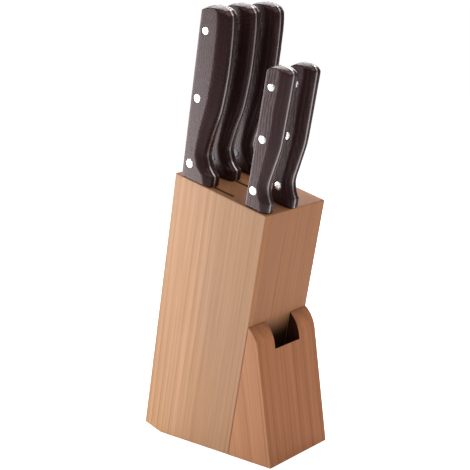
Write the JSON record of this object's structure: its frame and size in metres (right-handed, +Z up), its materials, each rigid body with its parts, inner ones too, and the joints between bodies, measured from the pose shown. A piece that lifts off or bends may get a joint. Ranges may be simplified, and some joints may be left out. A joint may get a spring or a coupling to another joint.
{
  "type": "knife block with knives",
  "caption": "Leaning wooden knife block on a wedge foot with an open scissors pocket, holding riveted full-tang kitchen knives that draw out of their slots",
  "frame": {"origin": "centre of the footprint of block and foot, on the table", "axes": "+Z up, -Y to the front where the foot is, +X to the right seen from the front"},
  "size_m": [0.0655, 0.1717, 0.3301],
  "materials": {
    "block_wood": "satin lacquered softwood, straight growth lines",
    "spacer_wood": "unlacquered softwood strip",
    "handle_wood": "resin-filled dark wood, semi-gloss",
    "blade_steel": "fine brushed stainless",
    "rivet_steel": "polished rivet heads, flush with the scales"
  },
  "bodies": {
    "block": {"board_left": "block_wood", "board_mid_left": "block_wood", "board_mid_right": "block_wood", "board_right": "block_wood", "spacer_left_back": "spacer_wood", "spacer_left_middle": "spacer_wood", "spacer_left_front": "spacer_wood", "spacer_mid_back": "spacer_wood", "spacer_mid_middle": "spacer_wood", "spacer_mid_front": "spacer_wood", "spacer_right_back": "spacer_wood", "spacer_right_front": "spacer_wood", "foot": "block_wood"},
    "chef_knife": {"chef_blade": "blade_steel", "chef_scale_left": "handle_wood", "chef_scale_right": "handle_wood", "chef_rivet_lower": "rivet_steel", "chef_rivet_middle": "rivet_steel", "chef_rivet_upper": "rivet_steel"},
    "bread_knife": {"bread_blade": "blade_steel", "bread_scale_left": "handle_wood", "bread_scale_right": "handle_wood", "bread_rivet_lower": "rivet_steel", "bread_rivet_middle": "rivet_steel", "bread_rivet_upper": "rivet_steel"},
    "carving_knife": {"carving_blade": "blade_steel", "carving_scale_left": "handle_wood", "carving_scale_right": "handle_wood", "carving_rivet_lower": "rivet_steel", "carving_rivet_middle": "rivet_steel", "carving_rivet_upper": "rivet_steel"},
    "utility_knife": {"utility_blade": "blade_steel", "utility_scale_left": "handle_wood", "utility_scale_right": "handle_wood", "utility_rivet_lower": "rivet_steel", "utility_rivet_middle": "rivet_steel", "utility_rivet_upper": "rivet_steel"},
    "paring_knife": {"paring_blade": "blade_steel", "paring_scale_left": "handle_wood", "paring_scale_right": "handle_wood", "paring_rivet_lower": "rivet_steel", "paring_rivet_middle": "rivet_steel", "paring_rivet_upper": "rivet_steel"}
  },
  "joints": [
    {"name": "chef_draw", "type": "slide", "parent": "block", "child": "chef_knife", "axis": [0, -0.2706, 0.9627], "range_m": [0, 0.21]},
    {"name": "bread_draw", "type": "slide", "parent": "block", "child": "bread_knife", "axis": [0, -0.2706, 0.9627], "range_m": [0, 0.21]},
    {"name": "carving_draw", "type": "slide", "parent": "block", "child": "carving_knife", "axis": [0, -0.2706, 0.9627], "range_m": [0, 0.208]},
    {"name": "utility_draw", "type": "slide", "parent": "block", "child": "utility_knife", "axis": [0, -0.2924, 0.9563], "range_m": [0, 0.135]},
    {"name": "paring_draw", "type": "slide", "parent": "block", "child": "paring_knife", "axis": [0, -0.2706, 0.9627], "range_m": [0, 0.1]}
  ]
}
